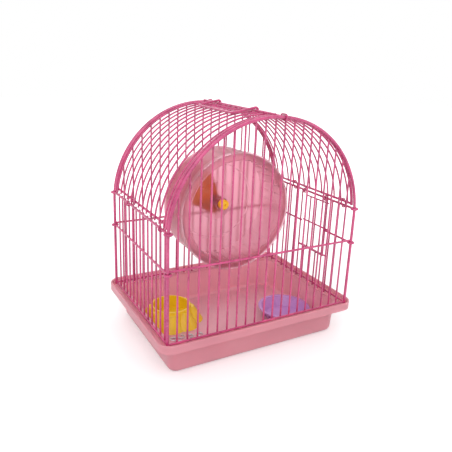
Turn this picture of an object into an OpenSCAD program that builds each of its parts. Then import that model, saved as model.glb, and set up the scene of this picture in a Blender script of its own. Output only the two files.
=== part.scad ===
// Small dome-top wire hamster cage on a moulded tray, with a drum wheel, a food bowl and a dish.
// Millimetres, +Z up. The arched front faces -Y, and the vault runs from front to back.
// The origin is the middle of the tray's underside.

/* [Tray] */
// Length of the tray's rim, side to side
rim_length = 230; // [190:1:280]
// Depth of the tray's rim, front to back
rim_depth = 170; // [140:1:210]
// Height of the tray, underside to rim
tray_height = 40; // [34:1:50]
// Corner radius of the rim, seen from above
rim_corner = 14; // [10:0.5:18]
// Height of the outer face of the rim
lip_height = 8.5; // [7:0.5:12]
// Wall thickness of the rim
lip_wall = 2; // [1.5:0.1:2.5]
// Depth of the channel that the wire walls stand in
channel_depth = 4.4; // [3:0.1:6]
// From the rim's outer face to the tub's outer face, under the ledge
tub_inset = 12; // [10:0.1:13.5]
// How much further in the tub's foot is than its top
tub_draft = 2.5; // [0.5:0.1:4]
// Corner radius of the tub, at its top
tub_corner = 12; // [10:0.5:18]
// Radius of the rounded edge between the tub's walls and its floor
tub_round = 6; // [3:0.5:8]
// Wall thickness of the tub, its floor and its ledge
tub_wall = 1.8; // [1.4:0.1:2.4]

/* [Wire cage] */
// From the rim's outer face to the middle of the corner posts
rim_to_wire = 8; // [7:0.5:9]
// Height of the corner posts, foot to the start of the arch
post_height = 103; // [88:0.5:128]
// Wanted distance from one bar to the next
bar_pitch = 10.7; // [9:0.1:14]
// Thickness of the arched end frames
frame_wire = 3.0; // [2.6:0.1:3.4]
// Thickness of the bars and the roof arches
bar_wire = 1.8; // [1.6:0.1:2.0]
// Thickness of the cross wires
cross_wire = 2.2; // [2.0:0.1:2.4]
// Thickness of the top rails and the roof's rails
rail_wire = 2.5; // [2.3:0.1:2.7]
// How deep crossing wires are sunk into each other by the weld
weld = 0.35; // [0.25:0.05:0.5]
// Height of the middle cross wires above the feet
mid_height = 75.3; // [60:0.5:80]
// Height of the side panels' top rails above the feet
top_rail_height = 111; // [107:0.1:115]
// From a side panel's top rail up to the roof's rail
rail_spacing = 5.4; // [5.4:0.1:7]
// Free play of wire eyes and clips round a wire
eye_play = 0.3; // [0.2:0.05:0.45]

/* [Side door] */
// First bar beside the door, counted from the front
door_first_bar = 4; // [3:1:5]
// Width of the door opening, in bar spaces
door_spaces = 4; // [3:1:5]
// Height of the door's sill above the feet
sill_height = 42; // [34:0.5:55]
// Thickness of the door's wires
door_wire = 2.0; // [1.8:0.1:2.2]
// How far the door's cross wires reach past its side wires
door_reach = 5; // [4:0.5:6]

/* [Carry handle] */
// Thickness of the handle's wire
handle_wire = 2.5; // [2.2:0.1:2.8]
// From the ridge to the grip
handle_leg = 25; // [20:0.5:32]
// Roof arches from the middle of the ridge to each handle leg
handle_arches = 3.5; // [3.5:1:5.5]

/* [Wheel] */
// Outer radius of the wheel's front ring
wheel_radius = 67; // [50:0.1:78]
// Width of the wheel, front to back
wheel_width = 53; // [40:0.5:64]
// Wall thickness of the wheel
wheel_wall = 1.6; // [1.2:0.1:2]
// How far the axle is to the right of the middle
axle_offset = 7; // [4:0.5:12]
// Height of the axle above the wire feet
axle_height = 97; // [90:0.5:103]
// From the back wall's bars to the wheel's back
wheel_standoff = 23; // [20:0.5:28]
// Radius of the axle
axle_radius = 3; // [2.5:0.1:3.5]
// Play of the wheel's hub round the axle, on the radius
axle_play = 0.05; // [0.03:0.01:0.08]
// Number of treads inside the wheel
treads = 36; // [24:2:48]

/* [Bowls] */
// Radius of the food bowl over its lobes
bowl_radius = 37; // [30:0.5:40]
// Height of the food bowl
bowl_height = 19; // [16:0.5:24]
// Number of lobes round the food bowl
bowl_lobes = 8; // [6:1:10]
// Radius of the dish's rim
dish_radius = 30.5; // [22:0.5:34]
// Height of the dish
dish_height = 12; // [9:0.5:15]
// Number of ribs round the dish
dish_flutes = 24; // [16:2:32]

/* [Hidden] */

wire_pink = [0.87, 0.36, 0.58];
tray_pink = [0.89, 0.56, 0.64];
wheel_pink = [0.93, 0.60, 0.68];
deep_yellow = [0.93, 0.63, 0.12];
bowl_yellow = [0.93, 0.80, 0.12];
dish_lilac = [0.70, 0.46, 0.78];
plain_steel = [0.72, 0.72, 0.74];

// Levels, from the floor up
rest_gap = 0.05;
ledge_z = tray_height - channel_depth;
foot_z = ledge_z + rest_gap;
floor_z = tub_wall;
arch_z = foot_z + post_height;
mid_z = foot_z + mid_height;
low_z = foot_z + 2;
top_rail_z = foot_z + top_rail_height;
roof_rail_z = top_rail_z + rail_spacing;

// Wire radii
frame_r = frame_wire / 2;
bar_r = bar_wire / 2;
cross_r = cross_wire / 2;
rail_r = rail_wire / 2;
clip_r = 0.8;

// The cage's plan: post middles, a whole number of bar spaces on each wall, and the middle of
// the space that follows a bar
cage_w = rim_length - 2 * rim_to_wire;
cage_d = rim_depth - 2 * rim_to_wire;
arch_r = cage_w / 2;
front_spaces = round(cage_w / bar_pitch);
side_spaces = round(cage_d / bar_pitch);
front_pitch = cage_w / front_spaces;
side_pitch = cage_d / side_spaces;
function bar_x(i) = -cage_w / 2 + i * front_pitch;
function bar_y(i) = -cage_d / 2 + i * side_pitch;
function space_x(i) = bar_x(i + 0.5);
function space_y(i) = bar_y(i + 0.5);

// Half-width of the arched frame at a height, and its height at a distance from the middle
function arch_half(z) = z <= arch_z ? arch_r : sqrt(pow(arch_r, 2) - pow(z - arch_z, 2));
function arch_top(x, r = arch_r) = arch_z + sqrt(pow(r, 2) - pow(x, 2));

// Layers of wire, measured out from the middle of the cage
end_bar_y = cage_d / 2 - frame_r - bar_r + weld;
end_cross_y = end_bar_y + bar_r + cross_r - weld;
end_arch_y = end_bar_y - bar_r - eye_play - frame_r;
top_rail_x = arch_half(top_rail_z);
side_bar_x = top_rail_x - rail_r - bar_r + weld;
side_cross_x = side_bar_x + bar_r + cross_r - weld;
side_mid_z = mid_z - 2 * cross_r - eye_play;
roof_rail_r = arch_r - bar_r - rail_r + weld;
roof_rail_x = sqrt(pow(roof_rail_r, 2) - pow(roof_rail_z - arch_z, 2));
roof_foot_z = roof_rail_z - rail_r - 1;
roof_foot_angle = asin((roof_foot_z - arch_z) / arch_r);
ridge_z = arch_z + arch_r + bar_r + rail_r - weld;

// Tub, inside
tub_in_x = rim_length / 2 - tub_inset - tub_draft - tub_wall;
tub_in_y = rim_depth / 2 - tub_inset - tub_draft - tub_wall;
tub_open_inset = tub_inset + tub_wall;

// Door
door_r = door_wire / 2;
door_eye_r = rail_r + eye_play + door_r;
door_x = top_rail_x + door_eye_r;
door_cross_x = door_x + door_r + bar_r - weld;
door_last_bar = door_first_bar + door_spaces;
sill_z = foot_z + sill_height;
door_low_z = sill_z - 1.5;
door_side_gap = 3;
door_y0 = bar_y(door_first_bar) + door_side_gap;
door_y1 = bar_y(door_last_bar) - door_side_gap;
door_top_z = top_rail_z - 7;

// Handle: how far it folds down before its grip is just clear of the roof
handle_r = handle_wire / 2;
handle_eye_r = rail_r + eye_play + handle_r;
handle_y = handle_arches * side_pitch;
handle_bend = 5;
grip_reach = norm([handle_leg, handle_eye_r]);
grip_orbit = arch_r + bar_r + handle_r + 0.4;
pivot_up = ridge_z - arch_z;
grip_from_down = acos((pow(pivot_up, 2) + pow(grip_reach, 2) - pow(grip_orbit, 2))
                      / (2 * pivot_up * grip_reach));
handle_fold = 90 - grip_from_down + atan(handle_eye_r / handle_leg);

// Wheel, and the bracket that is clamped to the back wall by screws in the space behind the axle
axle_x = axle_offset;
screw_x = space_x(floor((axle_x + cage_w / 2) / front_pitch));
axle_z = foot_z + axle_height;
bracket_back_y = end_bar_y - bar_r - 0.15;
wheel_back_y = end_bar_y - bar_r - wheel_standoff;
wheel_front_y = wheel_back_y - wheel_width;
ring_skirt = 6;
ring_play = 0.2;
drum_radius = wheel_radius - wheel_wall - ring_play;
hub_radius = 7;
hub_back_y = wheel_back_y + 2;
hub_front_y = wheel_back_y - 17;
bracket_tip_y = hub_back_y + 0.6;
cap_radius = 5.8;
cap_length = 7;
cap_back_y = hub_front_y - 0.5;
axle_tip_y = cap_back_y - cap_length + 2.8;
axle_root_y = bracket_tip_y + 9;
clamp_y = end_bar_y + bar_r + 0.15;
clamp_thick = 2.4;
clamp_radius = 7.5;
// Lobes of the bracket's foot: distance sideways and up from the axle, and radius
bracket_lobes = [[-1, 25, 7], [-14, -3, 8], [11, -14, 9]];
screw_heights = [19, -6];
screw_r = 1.4;
screw_play = 0.08;

// Bowls stand near the tub's walls
bowl_lobe_foot = bowl_radius * 0.43;
bowl_lobe_at = bowl_radius - bowl_lobe_foot;
bowl_turns = [for (i = [0 : bowl_lobes - 1]) 360 * (i + 0.5) / bowl_lobes];
bowl_reach_x = bowl_lobe_foot + bowl_lobe_at * max([for (t = bowl_turns) cos(t)]);
bowl_reach_y = bowl_lobe_foot + bowl_lobe_at * max([for (t = bowl_turns) sin(t)]);
tub_floor_inset = tub_round - tub_wall;
bowl_x = -(tub_in_x - tub_floor_inset - bowl_reach_x - 1);
bowl_y = tub_in_y - tub_floor_inset - bowl_reach_y;
bowl_wall = 1.8;
cup_radius = bowl_radius * 0.6;
dish_x = tub_in_x - dish_radius - 1;
dish_y = -(tub_in_y - dish_radius) * 0.5;
dish_wall = 1.4;

// ---- Wires ----

module rod_x(r, x0, x1, y, z) {
    translate([x0, y, z]) rotate([0, 90, 0]) cylinder(r = r, h = x1 - x0, $fn = 24);
}

module rod_y(r, x, y0, y1, z) {
    translate([x, y1, z]) rotate([90, 0, 0]) cylinder(r = r, h = y1 - y0, $fn = 24);
}

module rod_z(r, x, y, z0, z1) {
    translate([x, y, z0]) cylinder(r = r, h = z1 - z0, $fn = 24);
}

// A bent wire: part of a ring in the XY plane, from one angle on through a sweep
module bend(ring_r, wire_r, from = 0, sweep = 360, fn = 48) {
    rotate([0, 0, from])
        rotate_extrude(angle = sweep, $fn = fn)
            translate([ring_r, 0]) circle(r = wire_r, $fn = 24);
}

// An arch that stands across the cage, with both feet the same angle above its middle
module arch(wire_r, y, foot_angle = 0) {
    translate([0, y, arch_z]) rotate([90, 0, 0])
        bend(arch_r, wire_r, foot_angle, 180 - 2 * foot_angle, 160);
}

// A closed wire link round two parallel wires that run along Y, in the plane of XZ
module link(from, to, play_r) {
    run = to - from;
    turn = atan2(run[1], run[0]);
    translate([from[0], 0, from[1]]) rotate([90, -turn, 0]) {
        bend(play_r, clip_r, 90, 180);
        translate([norm(run), 0, 0]) bend(play_r, clip_r, -90, 180);
        for (side = [-1, 1])
            rod_x(clip_r, 0, norm(run), side * play_r, 0);
    }
}

// ---- Tray ----

module rounded_rectangle(length, depth, corner) {
    square([length - 2 * corner, depth], center = true);
    square([length, depth - 2 * corner], center = true);
    for (x = [-1, 1], y = [-1, 1])
        translate([x * (length / 2 - corner), y * (depth / 2 - corner)])
            circle(r = corner, $fn = 64);
}

// Carries a profile round a rounded rectangle: across is measured out from the corner's middle
module carried_round(length, depth, corner) {
    run_x = length - 2 * corner;
    run_y = depth - 2 * corner;
    for (q = [0 : 3]) {
        run = q % 2 == 0 ? run_y : run_x;
        out = q % 2 == 0 ? run_x / 2 : run_y / 2;
        rotate([0, 0, 90 * q]) {
            translate([out, run / 2, 0]) rotate([90, 0, 0]) linear_extrude(run) children();
            translate([out, run / 2, 0]) rotate_extrude(angle = 90, $fn = 64) children();
        }
    }
}

module lip_profile() {
    top = tray_height - lip_wall / 2;
    translate([rim_corner - lip_wall, tray_height - lip_height])
        square([lip_wall, top - tray_height + lip_height]);
    translate([rim_corner - lip_wall / 2, top]) circle(d = lip_wall, $fn = 32);
}

module tub_profile() {
    foot = tub_corner - tub_draft;
    polygon([[foot, tub_round], [tub_corner, ledge_z], [tub_corner - tub_wall, ledge_z],
             [foot - tub_wall, tub_round]]);
    translate([foot - tub_round, tub_round]) difference() {
        circle(r = tub_round, $fn = 48);
        circle(r = tub_round - tub_wall, $fn = 48);
        translate([-2 * tub_round, -tub_round - 1])
            square([2 * tub_round, 2 * tub_round + 2]);
        translate([-1, 0]) square([tub_round + 2, tub_round + 1]);
    }
}

module tray() {
    tub_length = rim_length - 2 * tub_inset;
    tub_depth = rim_depth - 2 * tub_inset;
    floor_inset = tub_draft + tub_round;
    color(tray_pink) {
        carried_round(rim_length, rim_depth, rim_corner) lip_profile();
        carried_round(tub_length, tub_depth, tub_corner) tub_profile();
        translate([0, 0, ledge_z - tub_wall]) difference() {
            linear_extrude(tub_wall)
                rounded_rectangle(rim_length - lip_wall, rim_depth - lip_wall,
                                  rim_corner - lip_wall / 2);
            translate([0, 0, -1]) linear_extrude(tub_wall + 2)
                rounded_rectangle(rim_length - 2 * tub_open_inset + 1,
                                  rim_depth - 2 * tub_open_inset + 1,
                                  tub_corner - tub_wall + 0.5);
        }
        linear_extrude(floor_z)
            rounded_rectangle(tub_length - 2 * floor_inset, tub_depth - 2 * floor_inset,
                              tub_corner - floor_inset);
    }
}

// ---- Wire panels ----

// The arched frame, its upright bars and its cross wires; side is -1 in front and 1 at the back
module end_panel(side) {
    color(wire_pink) {
        arch(frame_r, side * cage_d / 2);
        for (x = [-arch_r, arch_r])
            rod_z(frame_r, x, side * cage_d / 2, foot_z, arch_z);
        for (z = [low_z, mid_z])
            rod_x(cross_r, -arch_r, arch_r, side * end_cross_y, z);
        for (i = [1 : front_spaces - 1])
            rod_z(bar_r, bar_x(i), side * end_bar_y, foot_z, arch_top(bar_x(i)) + 0.6);
    }
}

// The eyes that hook a side panel's wires round the corner posts
module post_eyes(side, x, z, wire_r) {
    for (y = [-cage_d / 2, cage_d / 2])
        translate([side * x, y, z]) bend(frame_r + eye_play + wire_r, wire_r);
}

// Bars, rails and eyes of a side wall; cut is the range of bars that stop at the door's sill
module side_panel(side, cut = [0, 0]) {
    rail_end = cage_d / 2 - frame_r - eye_play - rail_r;
    color(wire_pink) {
        rod_y(rail_r, side * top_rail_x, -rail_end, rail_end, top_rail_z);
        post_eyes(side, top_rail_x, top_rail_z, rail_r);
        post_eyes(side, arch_r, side_mid_z, cross_r);
        rod_y(cross_r, side * side_cross_x, -rail_end, bar_y(cut[0]), side_mid_z);
        rod_y(cross_r, side * side_cross_x, bar_y(cut[1]), rail_end, side_mid_z);
        rod_y(cross_r, side * side_cross_x, 1 - rail_end, rail_end - 1, low_z);
        for (i = [1 : side_spaces - 1])
            rod_z(bar_r, side * side_bar_x, bar_y(i), foot_z,
                  i > cut[0] && i < cut[1] ? sill_z + 1 : top_rail_z + 1);
    }
}

module front_panel() {
    end_panel(-1);
}

module back_panel() {
    end_panel(1);
}

module left_panel() {
    side_panel(-1, [side_spaces / 2, side_spaces / 2]);
}

module right_panel() {
    side_panel(1, [door_first_bar, door_last_bar]);
    color(wire_pink)
        rod_y(cross_r, side_cross_x, bar_y(door_first_bar) - 1, bar_y(door_last_bar) + 1, sill_z);
}

// Barrel roof: arches on two low rails inside and one ridge rail outside
module roof_panel() {
    rail_end = end_arch_y + 0.8;
    color(wire_pink) {
        for (side = [-1, 1]) {
            arch(frame_r, side * end_arch_y, roof_foot_angle);
            rod_y(rail_r, side * roof_rail_x, -rail_end, rail_end, roof_rail_z);
        }
        for (i = [1 : side_spaces - 1])
            arch(bar_r, bar_y(i), roof_foot_angle);
        rod_y(rail_r, 0, -rail_end, rail_end, ridge_z);
    }
}

// Wire links that hold the roof's end arches to the front and back frames
module ridge_clips() {
    x = front_pitch - bar_r - eye_play - clip_r;
    color(wire_pink)
        for (side = [-1, 1])
            translate([x, 0, arch_top(x)]) rotate([0, 0, side * 90])
                link([end_arch_y, 0], [cage_d / 2, 0], frame_r + eye_play + clip_r);
}

// Wire links that hold the roof's low rails to the side panels' top rails
module rail_clips() {
    color(wire_pink)
        for (side = [-1, 1], i = [1, ceil(side_spaces / 2) + 2])
            translate([0, space_y(i), 0])
                link([side * top_rail_x, top_rail_z], [side * roof_rail_x, roof_rail_z],
                     rail_r + eye_play + clip_r);
}

// ---- Side door ----

module side_door() {
    color(wire_pink) {
        for (y = [door_y0, door_y1]) {
            rod_z(door_r, door_x, y, door_low_z - 1, top_rail_z);
            translate([top_rail_x, y, top_rail_z]) rotate([90, 0, 0])
                bend(door_eye_r, door_r, 0, 270);
        }
        for (i = [door_first_bar + 1 : door_last_bar - 1])
            rod_z(bar_r, door_x, bar_y(i), door_low_z - 1, door_top_z + 1);
        for (z = [door_low_z, side_mid_z])
            rod_y(bar_r, door_cross_x, door_y0 - door_reach, door_y1 + door_reach, z);
        rod_y(bar_r, door_cross_x, door_y0 - 1, door_y1 + 1, door_top_z);
    }
}

// ---- Carry handle ----

// One bent wire, folded down to the left: half of it is an eye round the ridge rail, a leg, a bend
// and half of the grip
module handle_half() {
    translate([0, handle_y, 0]) rotate([90, 0, 0]) bend(handle_eye_r, handle_r, 180, 270);
    rod_x(handle_r, handle_bend - handle_leg, 0, handle_y, handle_eye_r);
    translate([handle_bend - handle_leg, handle_y - handle_bend, handle_eye_r])
        bend(handle_bend, handle_r, 90, 90);
    rod_y(handle_r, -handle_leg, 0, handle_y - handle_bend, handle_eye_r);
}

module carry_handle() {
    color(wire_pink)
        translate([0, 0, ridge_z]) rotate([0, -handle_fold, 0])
            for (side = [0, 1])
                mirror([0, side, 0]) handle_half();
}

// ---- Wheel ----

// Turns a profile round the axle: across is the radius, up is the distance towards the front
module round_axle() {
    translate([axle_x, 0, axle_z]) rotate([90, 0, 0]) rotate_extrude($fn = 128) children();
}

// A straight pin on the axle's line, from one Y to another
module on_axle(r, y_front, y_back) {
    rod_y(r, axle_x, y_front, y_back, axle_z);
}

module drum_profile() {
    inner = drum_radius - wheel_wall;
    dish_out = 24;
    dish_front = wheel_back_y - 10;
    // running band
    translate([inner, -wheel_back_y])
        square([wheel_wall, wheel_width - wheel_wall - ring_play]);
    // back disc, dished forward round the hub
    polygon([[inner + 0.5, -wheel_back_y], [dish_out, -wheel_back_y],
             [hub_radius - 1, -dish_front], [hub_radius - 1, -dish_front + wheel_wall],
             [dish_out - 1, -wheel_back_y + wheel_wall], [inner + 0.5, -wheel_back_y + wheel_wall]]);
    // a raised ring that stiffens the disc
    translate([inner * 0.72, -wheel_back_y + wheel_wall]) circle(r = 1.4, $fn = 24);
    // hub
    translate([axle_radius + axle_play, -hub_back_y])
        square([hub_radius - axle_radius - axle_play, hub_back_y - hub_front_y]);
}

module wheel_drum() {
    inner = drum_radius - wheel_wall;
    tread_length = wheel_width - 8;
    color(wheel_pink) {
        round_axle() drum_profile();
        translate([axle_x, wheel_back_y - 3, axle_z])
            for (i = [0 : treads - 1])
                rotate([0, 360 * i / treads, 0]) translate([inner - 1, -tread_length, -0.8])
                    cube([1.4, tread_length, 1.6]);
    }
}

// Flanged ring that snaps over the drum's front edge and narrows its mouth
module wheel_front_ring() {
    mouth = wheel_radius - 8;
    color(wheel_pink) round_axle() {
        translate([mouth, -wheel_front_y - wheel_wall])
            square([wheel_radius - mouth - 0.4, wheel_wall]);
        translate([mouth, -wheel_front_y - wheel_wall / 2]) circle(d = wheel_wall + 0.8, $fn = 24);
        translate([wheel_radius - wheel_wall, -wheel_front_y - ring_skirt])
            square([wheel_wall, ring_skirt - 0.6]);
    }
}

module wheel_axle() {
    color(plain_steel) on_axle(axle_radius, axle_tip_y, axle_root_y);
}

// Push-on cap that keeps the wheel on its axle, with a dimple in its face
module hub_cap() {
    face_y = cap_back_y - cap_length;
    color(deep_yellow) difference() {
        round_axle() polygon([[0, -cap_back_y], [cap_radius, -cap_back_y],
                              [cap_radius, -face_y - 2], [cap_radius - 1.6, -face_y], [0, -face_y]]);
        on_axle(axle_radius + 0.02, axle_tip_y - 0.2, cap_back_y + 1);
        on_axle(1.2, face_y - 1, face_y + 1.4);
    }
}

module bracket_foot(y, thick) {
    for (lobe = bracket_lobes)
        rod_y(lobe[2], axle_x + lobe[0], y, y + thick, axle_z + lobe[1]);
}

// Three-lobed stand that tapers forward from the back wall to the axle
module wheel_bracket() {
    color(deep_yellow) difference() {
        hull() {
            bracket_foot(bracket_back_y - 2.5, 2.5);
            on_axle(6.5, bracket_tip_y, bracket_tip_y + 1);
        }
        on_axle(axle_radius + 0.02, bracket_tip_y - 1, axle_root_y + 0.5);
        for (up = screw_heights)
            rod_y(screw_r + screw_play, screw_x, bracket_back_y - 9, bracket_back_y + 1, axle_z + up);
    }
}

// Plate outside the back wall that clamps the bracket to its bars
module bracket_clamp() {
    color(deep_yellow) difference() {
        hull()
            for (up = screw_heights)
                rod_y(clamp_radius, screw_x, clamp_y, clamp_y + clamp_thick, axle_z + up);
        for (up = screw_heights)
            rod_y(screw_r + 0.3, screw_x, clamp_y - 1, clamp_y + clamp_thick + 1, axle_z + up);
    }
}

module clamp_screws() {
    head_y = clamp_y + clamp_thick + 0.05;
    color(plain_steel)
        for (up = screw_heights) difference() {
            union() {
                rod_y(screw_r, screw_x, bracket_back_y - 8, head_y + 0.5, axle_z + up);
                rod_y(3, screw_x, head_y, head_y + 1.9, axle_z + up);
            }
            // cross recess
            translate([screw_x, head_y + 1.9, axle_z + up]) {
                cube([3.4, 1.8, 0.8], center = true);
                cube([0.8, 1.8, 3.4], center = true);
            }
        }
}

// ---- Bowls ----

// Lobes round a cone, all drawn in by one wall thickness
module bowl_form(shrink, height) {
    cylinder(r1 = bowl_lobe_at + 8 - shrink, r2 = cup_radius - shrink, h = height, $fn = 64);
    for (turn = bowl_turns)
        rotate([0, 0, turn]) translate([bowl_lobe_at, 0, 0])
            cylinder(r1 = bowl_lobe_foot - shrink, r2 = bowl_lobe_foot * 0.33 - shrink / 2,
                     h = height * 0.88, $fn = 48);
}

// Food bowl: a round cup in a lobed skirt that is hollow underneath
module food_bowl() {
    cup_inner = cup_radius - bowl_wall;
    cup_floor = 5;
    color(bowl_yellow) translate([bowl_x, bowl_y, floor_z + rest_gap]) {
        difference() {
            union() {
                bowl_form(0, bowl_height);
                cylinder(r = cup_radius, h = bowl_height, $fn = 64);
            }
            translate([0, 0, -1]) bowl_form(bowl_wall, bowl_height - bowl_wall);
            cylinder(r = cup_inner, h = bowl_height + 1, $fn = 64);
        }
        difference() {
            cylinder(r = cup_radius, h = bowl_height - 0.5, $fn = 64);
            translate([0, 0, cup_floor]) cylinder(r = cup_inner, h = bowl_height, $fn = 64);
            translate([0, 0, -1]) cylinder(r = cup_inner, h = cup_floor - bowl_wall + 1, $fn = 64);
        }
    }
}

// Shallow dish with a ribbed wall and a turned-out rim
module water_dish() {
    foot = dish_radius * 0.72;
    under = dish_height - dish_wall;
    color(dish_lilac) translate([dish_x, dish_y, floor_z + rest_gap]) {
        rotate_extrude($fn = 96)
            polygon([[0, 0], [foot, 0], [dish_radius - 2, under], [dish_radius, under],
                     [dish_radius, dish_height], [dish_radius - 2 - dish_wall, dish_height],
                     [foot - dish_wall, dish_wall], [0, dish_wall]]);
        for (i = [0 : dish_flutes - 1])
            rotate([90, 0, 360 * i / dish_flutes]) linear_extrude(1.8, center = true)
                polygon([[foot - 0.5, 0.8], [foot + 1.1, 0.8], [dish_radius - 0.8, under + 0.4],
                         [dish_radius - 2.6, under + 0.4]]);
    }
}

// Loose wire clips left on the floor before the bowl: place from the bowl's front, and turn
clip_spots = [[-16, -9, 20], [-6, -7.5, 140], [3, -10, 250], [-12, -18, 300],
              [-2, -17, 75], [8, -19, 190], [14, -11, 330]];

module spare_clips() {
    color(plain_steel)
        for (spot = clip_spots)
            translate([bowl_x + spot[0], bowl_y - bowl_reach_y + spot[1],
                       floor_z + rest_gap + clip_r])
                bend(3.2, clip_r, spot[2], 290);
}

tray();
front_panel();
back_panel();
left_panel();
right_panel();
roof_panel();
ridge_clips();
rail_clips();
side_door();
carry_handle();
wheel_drum();
wheel_front_ring();
wheel_axle();
hub_cap();
wheel_bracket();
bracket_clamp();
clamp_screws();
food_bowl();
water_dish();
spare_clips();
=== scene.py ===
import math

import bpy
import numpy as np
from mathutils import Matrix, Vector


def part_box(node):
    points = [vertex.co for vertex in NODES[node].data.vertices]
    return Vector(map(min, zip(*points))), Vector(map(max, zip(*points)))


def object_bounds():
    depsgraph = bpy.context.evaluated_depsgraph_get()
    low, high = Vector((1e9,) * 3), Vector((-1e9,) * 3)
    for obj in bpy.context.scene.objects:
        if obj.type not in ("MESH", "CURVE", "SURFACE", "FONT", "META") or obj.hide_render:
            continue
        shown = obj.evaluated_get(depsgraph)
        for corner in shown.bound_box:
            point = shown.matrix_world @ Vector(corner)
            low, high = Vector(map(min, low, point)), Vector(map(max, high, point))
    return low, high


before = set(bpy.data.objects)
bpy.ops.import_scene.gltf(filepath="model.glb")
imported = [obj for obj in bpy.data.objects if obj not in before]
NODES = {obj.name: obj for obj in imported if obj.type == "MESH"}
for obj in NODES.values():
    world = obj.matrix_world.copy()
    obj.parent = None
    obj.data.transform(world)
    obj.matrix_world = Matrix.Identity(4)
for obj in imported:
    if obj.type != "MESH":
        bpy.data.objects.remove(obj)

# A small dome-top wire cage: enamelled wire walls on a translucent moulded tray,
# with a see-through drum wheel, a food bowl and a dish. Metres, +Z up.

CAD_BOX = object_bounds()
MM = 0.001

# ---- Camera ----

CAMERA_TURN = math.radians(30.07)
CAMERA_FALL = math.radians(16.62)
CAMERA_ROLL = math.radians(2.47)
CAMERA_DISTANCE = 0.5623
CAMERA_AIM = Vector((0, 0, 0.1354))
CAMERA_LENS = 40.84
CAMERA_SHIFT = (-0.0119, -0.0351)


def look_along(turn, fall, roll):
    """The camera's axes: forward is turned from +Y towards +X and tipped down, and
    right and up are then turned about it by the roll."""
    ahead = Vector((math.sin(turn) * math.cos(fall), math.cos(turn) * math.cos(fall), -math.sin(fall)))
    right = ahead.cross(Vector((0, 0, 1))).normalized()
    up = right.cross(ahead)
    rolled_right = right * math.cos(roll) + up * math.sin(roll)
    rolled_up = up * math.cos(roll) - right * math.sin(roll)
    return rolled_right, rolled_up, ahead


def make_camera():
    right, up, ahead = look_along(CAMERA_TURN, CAMERA_FALL, CAMERA_ROLL)
    data = bpy.data.cameras.new("camera")
    data.lens, data.sensor_width = CAMERA_LENS, 36
    data.shift_x, data.shift_y = CAMERA_SHIFT
    data.clip_start, data.clip_end = 0.01, 20
    camera = bpy.data.objects.new("camera", data)
    bpy.context.scene.collection.objects.link(camera)
    turn = Matrix((right, up, -ahead)).transposed().to_4x4()
    camera.matrix_world = Matrix.Translation(CAMERA_AIM - ahead * CAMERA_DISTANCE) @ turn
    bpy.context.scene.camera = camera


# ---- Material tools ----


def linear(code):
    """An sRGB hex colour as linear RGBA."""
    part = np.array([int(code[i : i + 2], 16) for i in (1, 3, 5)]) / 255
    part = np.where(part <= 0.04045, part / 12.92, ((part + 0.055) / 1.055) ** 2.4)
    return (*part.tolist(), 1.0)


def add(tree, kind, inputs=None, settings=None, out=0):
    """Adds a shader node and returns its output. Settings are its properties; inputs are its
    sockets by name or number, each a plain value or another node's output to link."""
    made = tree.nodes.new("ShaderNode" + kind)
    for name, value in (settings or {}).items():
        setattr(made, name, value)
    for name, value in (inputs or {}).items():
        if isinstance(value, bpy.types.NodeSocket):
            tree.links.new(value, made.inputs[name])
        else:
            made.inputs[name].default_value = value
    return made.outputs[out] if len(made.outputs) else None


def start_material(name):
    made = bpy.data.materials.new(name)
    made.use_nodes = True
    made.node_tree.nodes.clear()
    return made, made.node_tree, add(made.node_tree, "TexCoord", out="Object")


# Noise scales are written as PER_MM over the size of one patch in millimetres. In a MapRange,
# sockets 1 and 2 are the range read and 3 and 4 the range given (0 to 1 where they're left out).
PER_MM = 1 / MM
COLOURS = {"data_type": "RGBA"}

# ---- Materials ----


def dipped_enamel():
    """Steel wire dipped in pink enamel and baked: a glossy skin, deeper where it ran thick and
    paler where it stretched thin over the wire, with the orange peel of a dipped coat."""
    made, tree, place = start_material("dipped enamel on steel wire")
    along = add(tree, "Mapping", {"Vector": place, "Scale": (1, 1, 0.33)})
    runs = add(tree, "TexNoise", {"Vector": along, "Scale": PER_MM / 9, "Detail": 3.0})
    thick = add(tree, "MapRange", {0: runs, 1: 0.36, 2: 0.64})
    coat = add(tree, "Mix", {0: thick, 6: linear("#d04c81"), 7: linear("#b2376b")}, COLOURS, 2)
    patches = add(tree, "TexNoise", {"Vector": place, "Scale": PER_MM / 2.5, "Detail": 2.0})
    thin = add(tree, "MapRange", {0: patches, 1: 0.6, 2: 0.75, 4: 0.55})
    coat = add(tree, "Mix", {0: thin, 6: coat, 7: linear("#dd7099")}, COLOURS, 2)
    peel = add(tree, "TexNoise", {"Vector": place, "Scale": PER_MM / 0.9, "Detail": 1.0})
    surface = {
        "Base Color": coat,
        "Roughness": add(tree, "MapRange", {0: patches, 1: 0.3, 2: 0.7, 3: 0.24, 4: 0.36}),
        "Normal": add(tree, "Bump", {"Height": peel, "Distance": 0.04 * MM}),
        "IOR": 1.5,
        "Coat Weight": 0.3,
        "Coat Roughness": 0.1,
    }
    add(tree, "OutputMaterial", {"Surface": add(tree, "BsdfPrincipled", surface)})
    return made


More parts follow.
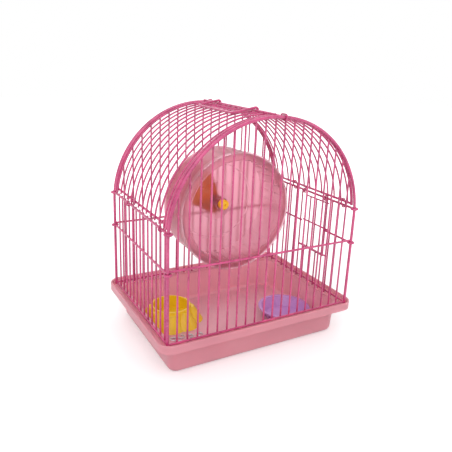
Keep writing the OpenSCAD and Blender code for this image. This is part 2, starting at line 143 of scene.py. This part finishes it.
def milky_polypropylene():
    """Pink polypropylene, injection moulded and let half clear: milky and soft, with clouds
    where the melt flowed, a faint mould grain, a painted pool of light that makes the
    middle of the floor lighter and a foot rubbed pale on shelves."""
    made, tree, place = start_material("milky polypropylene, moulded")
    flow = add(tree, "TexNoise", {"Vector": place, "Scale": PER_MM / 45, "Detail": 2.0})
    cloud = add(tree, "MapRange", {0: flow, 1: 0.3, 2: 0.7})
    body = add(tree, "Mix", {0: cloud, 6: linear("#f6afbc"), 7: linear("#f0a5b4")}, COLOURS, 2)
    height = add(tree, "SeparateXYZ", {0: place}, out=2)
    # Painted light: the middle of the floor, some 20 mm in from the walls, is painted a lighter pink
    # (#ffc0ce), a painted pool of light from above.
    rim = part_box("tray")[1]
    spread = add(tree, "VectorMath", {0: place}, {"operation": "ABSOLUTE"})
    along, across = (add(tree, "SeparateXYZ", {0: spread}, out=i) for i in (0, 1))
    mid_x = add(tree, "MapRange", {0: along, 1: rim.x - 22 * MM, 2: rim.x - 17 * MM, 3: 1, 4: 0})
    mid_y = add(tree, "MapRange", {0: across, 1: rim.y - 22 * MM, 2: rim.y - 17 * MM, 3: 1, 4: 0})
    above = add(tree, "MapRange", {0: height, 1: 1 * MM, 2: 1.5 * MM})
    middle = add(tree, "Math", {0: mid_x, 1: mid_y}, {"operation": "MULTIPLY"})
    floor = add(tree, "Math", {0: middle, 1: above}, {"operation": "MULTIPLY"})
    body = add(tree, "Mix", {0: floor, 6: body, 7: linear("#ffc0ce")}, COLOURS, 2)
    foot = add(tree, "MapRange", {0: height, 1: 0.5 * MM, 2: 4 * MM, 3: 1, 4: 0})
    scuffs = add(tree, "TexNoise", {"Vector": place, "Scale": PER_MM / 3, "Detail": 3.0})
    rubbed = add(tree, "MapRange", {0: scuffs, 1: 0.5, 2: 0.6, 4: 0.6})
    pale = add(tree, "Math", {0: foot, 1: rubbed}, {"operation": "MULTIPLY"})
    body = add(tree, "Mix", {0: pale, 6: body, 7: linear("#f5bcc8")}, COLOURS, 2)
    polish = add(tree, "TexNoise", {"Vector": place, "Scale": PER_MM / 8, "Detail": 3.0})
    grain = add(tree, "TexNoise", {"Vector": place, "Scale": PER_MM / 0.6, "Detail": 1.0})
    surface = {
        "Base Color": body,
        "Roughness": add(tree, "MapRange", {0: polish, 1: 0.3, 2: 0.7, 3: 0.3, 4: 0.42}),
        "Normal": add(tree, "Bump", {"Height": grain, "Distance": 0.01 * MM}),
        "IOR": 1.49,
        "Transmission Weight": 0.5,
    }
    add(tree, "OutputMaterial", {"Surface": add(tree, "BsdfPrincipled", surface)})
    return made


def frosted_polystyrene(name, light, deep):
    """Clear pink polystyrene, moulded thin and frosted: what touches it shows through sharp
    and what is further off melts into an even glow, under a soft gloss with faint flow
    marks. Lamps shine through it."""
    made, tree, place = start_material(name)
    flow = add(tree, "TexNoise", {"Vector": place, "Scale": PER_MM / 30, "Detail": 2.0})
    cloud = add(tree, "MapRange", {0: flow, 1: 0.3, 2: 0.7})
    marks = add(tree, "TexNoise", {"Vector": place, "Scale": PER_MM / 6, "Detail": 2.0})
    surface = {
        "Base Color": add(tree, "Mix", {0: cloud, 6: linear(light), 7: linear(deep)}, COLOURS, 2),
        "Roughness": add(tree, "MapRange", {0: marks, 1: 0.3, 2: 0.7, 3: 0.4, 4: 0.48}),
        "Normal": add(tree, "Bump", {"Height": marks, "Distance": 0.006 * MM}),
        "IOR": 1.12,  # a thin wall hardly bends what is seen through it
        "Transmission Weight": 0.95,
        "Coat Weight": 0.4,
        "Coat Roughness": 0.14,
    }
    lamp = add(tree, "LightPath", out="Is Shadow Ray")
    clear = add(tree, "BsdfTransparent", {"Color": linear("#fcf0f3")})
    both = add(tree, "MixShader", {0: lamp, 1: add(tree, "BsdfPrincipled", surface), 2: clear})
    add(tree, "OutputMaterial", {"Surface": both})
    return made


def moulded_plastic(name, light, deep, satin):
    """Opaque moulded plastic: an even colour that clouds a little with the flow, a satin
    gloss and the fine grain of a spark-eroded mould."""
    made, tree, place = start_material(name)
    flow = add(tree, "TexNoise", {"Vector": place, "Scale": PER_MM / 14, "Detail": 2.0})
    cloud = add(tree, "MapRange", {0: flow, 1: 0.35, 2: 0.65})
    body = add(tree, "Mix", {0: cloud, 6: linear(light), 7: linear(deep)}, COLOURS, 2)
    polish = add(tree, "TexNoise", {"Vector": place, "Scale": PER_MM / 4, "Detail": 2.0})
    grain = add(tree, "TexNoise", {"Vector": place, "Scale": PER_MM / 0.5, "Detail": 1.0})
    surface = {
        "Base Color": body,
        "Roughness": add(
            tree, "MapRange", {0: polish, 1: 0.3, 2: 0.7, 3: satin - 0.05, 4: satin + 0.06}
        ),
        "Normal": add(tree, "Bump", {"Height": grain, "Distance": 0.01 * MM}),
        "IOR": 1.5,
    }
    add(tree, "OutputMaterial", {"Surface": add(tree, "BsdfPrincipled", surface)})
    return made


def zinc_plated_steel():
    """Bright zinc-plated steel wire: a silvery shine with grey specks where the plating is
    thin and rough."""
    made, tree, place = start_material("bright zinc-plated steel")
    specks = add(tree, "TexNoise", {"Vector": place, "Scale": PER_MM / 0.8, "Detail": 2.0})
    dull = add(tree, "MapRange", {0: specks, 1: 0.55, 2: 0.7})
    surface = {
        "Base Color": add(tree, "Mix", {0: dull, 6: linear("#d3d4d7"), 7: linear("#9a9a9e")}, COLOURS, 2),
        "Metallic": 1.0,
        "Roughness": add(tree, "MapRange", {0: specks, 1: 0.3, 2: 0.7, 3: 0.22, 4: 0.42}),
        "Normal": add(tree, "Bump", {"Height": specks, "Distance": 0.02 * MM}),
    }
    add(tree, "OutputMaterial", {"Surface": add(tree, "BsdfPrincipled", surface)})
    return made


def dress(material, *names):
    for name in names:
        slots = NODES[name].data.materials
        slots.clear()
        slots.append(material)


WIREWORK = (
    "front_panel",
    "back_panel",
    "left_panel",
    "right_panel",
    "roof_panel",
    "ridge_clips",
    "rail_clips",
    "side_door",
    "carry_handle",
)


def dress_nodes():
    dress(dipped_enamel(), *WIREWORK)
    dress(milky_polypropylene(), "tray")
    dress(frosted_polystyrene("frosted clear polystyrene", "#d494a3", "#d08c9c"), "wheel_drum")
    thin = frosted_polystyrene("frosted clear polystyrene, thin", "#f0ccd6", "#edc5d0")
    dress(thin, "wheel_front_ring")
    yellow = moulded_plastic("yellow ABS, moulded", "#ffd42e", "#ffcb1f", 0.35)
    dress(yellow, "wheel_bracket", "bracket_clamp", "hub_cap")
    dress(moulded_plastic("bright yellow polypropylene", "#efcc22", "#e8c01a", 0.38), "food_bowl")
    dress(moulded_plastic("lilac polypropylene", "#c48fce", "#bb85c6", 0.38), "water_dish")
    dress(zinc_plated_steel(), "wheel_axle", "clamp_screws", "spare_clips")


# ---- Studio ----

AMBIENT = 0.82  # the white world's light on the cage, against 1 as seen
FLOOR_HALF = 3.0
FLOOR_GAP = 0.3 * MM


def seen_by_the_eye(tree):
    """1 for rays that the eye follows straight, off a gloss or through a clear wall."""
    straight = add(tree, "LightPath", out="Is Camera Ray")
    glossy = add(tree, "LightPath", out="Is Glossy Ray")
    through = add(tree, "LightPath", out="Is Transmission Ray")
    either = add(tree, "Math", {0: straight, 1: glossy}, {"operation": "MAXIMUM"})
    return add(tree, "Math", {0: either, 1: through}, {"operation": "MAXIMUM"})


def make_world():
    world = bpy.data.worlds.new("studio")
    world.use_nodes = True
    tree = world.node_tree
    tree.nodes.clear()
    level = add(tree, "MapRange", {0: seen_by_the_eye(tree), 3: AMBIENT, 4: 1.0})
    sky = add(tree, "Background", {"Color": (1, 1, 1, 1), "Strength": level})
    add(tree, "OutputWorld", {"Surface": sky})
    bpy.context.scene.world = world


def make_floor():
    """A white paper sweep that keeps the shadow near the cage and is lit up to plain white
    further off, to the eye only."""
    mesh = bpy.data.meshes.new("floor")
    half = FLOOR_HALF
    corners = [(-half, -half, 0), (half, -half, 0), (half, half, 0), (-half, half, 0)]
    mesh.from_pydata(corners, [], [(0, 1, 2, 3)])
    floor = bpy.data.objects.new("floor", mesh)
    floor.location.z = CAD_BOX[0].z - FLOOR_GAP
    bpy.context.scene.collection.objects.link(floor)
    made = bpy.data.materials.new("white paper sweep")
    made.use_nodes = True
    tree = made.node_tree
    tree.nodes.clear()
    place = add(tree, "TexCoord", out="Object")
    away = add(tree, "VectorMath", {0: place}, {"operation": "LENGTH"}, "Value")
    lift = add(tree, "MapRange", {0: away, 1: 0.12, 2: 0.6, 3: 0.26, 4: 0.7})
    shown = add(tree, "Math", {0: seen_by_the_eye(tree), 1: lift}, {"operation": "MULTIPLY"})
    paper = add(tree, "BsdfDiffuse", {"Color": linear("#ededed")})
    glow = add(tree, "Emission", {"Color": (1, 1, 1, 1), "Strength": shown})
    add(tree, "OutputMaterial", {"Surface": add(tree, "AddShader", {0: paper, 1: glow})})
    mesh.materials.append(made)


def make_lamp(name, place, aim, size, power):
    data = bpy.data.lights.new(name, "AREA")
    data.shape, data.size, data.energy = "DISK", size, power
    lamp = bpy.data.objects.new(name, data)
    lamp.location = place
    lamp.rotation_mode = "QUATERNION"
    lamp.rotation_quaternion = (Vector(aim) - Vector(place)).to_track_quat("-Z", "Y")
    bpy.context.scene.collection.objects.link(lamp)


def light_studio():
    make_world()
    make_floor()
    middle = (0, 0, 0.12)
    make_lamp("key", (-0.8, -0.95, 1.2), middle, 1.3, 10)
    make_lamp("fill", (1.3, -0.8, 0.7), middle, 1.2, 3)
    make_lamp("back", (0.3, 1.2, 1.2), middle, 1.2, 4)


scene = bpy.context.scene
scene.view_settings.view_transform = "Standard"
make_camera()
light_studio()
dress_nodes()
